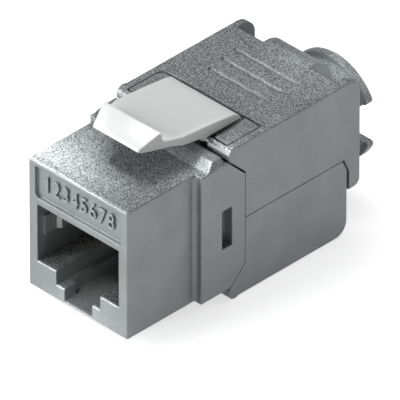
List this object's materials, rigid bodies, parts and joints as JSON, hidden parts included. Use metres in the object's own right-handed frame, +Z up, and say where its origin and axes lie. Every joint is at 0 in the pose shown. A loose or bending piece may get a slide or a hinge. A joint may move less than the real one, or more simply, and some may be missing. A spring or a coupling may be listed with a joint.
{
  "type": "shielded keystone jack",
  "caption": "Shielded keystone jack for twisted-pair cable: port block with a snap latch, hinged metal covers and a split cable collar.",
  "frame": {"origin": "middle of the footprint, on the surface the jack stands on", "axes": "+Y from the port to the cable collar, +Z up to the latch, +X to the right when the port is faced from the front"},
  "size_m": [0.0164, 0.038, 0.0222],
  "materials": {
    "zinc": "fine speckled die-cast plating, satin",
    "white_plastic": "satin",
    "black_plastic": "satin",
    "gold": "bright",
    "board": "satin",
    "steel": "satin"
  },
  "bodies": {
    "housing": {"front_housing": "zinc", "ground_spring_left": "steel", "ground_spring_right": "steel", "contact_carrier": "black_plastic", "contact_1": "gold", "contact_2": "gold", "contact_3": "gold", "contact_4": "gold", "contact_5": "gold", "contact_6": "gold", "contact_7": "gold", "contact_8": "gold", "circuit_board": "board", "terminal_block_upper": "black_plastic", "terminal_block_lower": "black_plastic", "terminal_1": "steel", "terminal_2": "steel", "terminal_3": "steel", "terminal_4": "steel", "terminal_5": "steel", "terminal_6": "steel", "terminal_7": "steel", "terminal_8": "steel", "wire_manager": "white_plastic"},
    "upper_door": {"upper_cover": "zinc", "upper_hinge_pin": "steel"},
    "lower_door": {"lower_cover": "zinc", "lower_hinge_pin": "steel"},
    "snap_latch": {"latch": "white_plastic"}
  },
  "joints": [
    {"name": "upper_cover_hinge", "type": "hinge", "parent": "housing", "child": "upper_door", "pos_m": [0, -0.00425, 0.0181], "axis": [1, 0, 0], "range_deg": [0, 85]},
    {"name": "lower_cover_hinge", "type": "hinge", "parent": "housing", "child": "lower_door", "pos_m": [0, -0.00425, 0.0009], "axis": [1, 0, 0], "range_deg": [-85, 0]},
    {"name": "latch_press", "type": "hinge", "parent": "housing", "child": "snap_latch", "pos_m": [0, 0.00005, 0.0184], "axis": [1, 0, 0], "range_deg": [0, 6], "stiffness_Nm_per_rad": 0.2}
  ],
  "couplings": [
    {"joint": "lower_cover_hinge", "follows": "upper_cover_hinge", "ratio": -1}
  ]
}
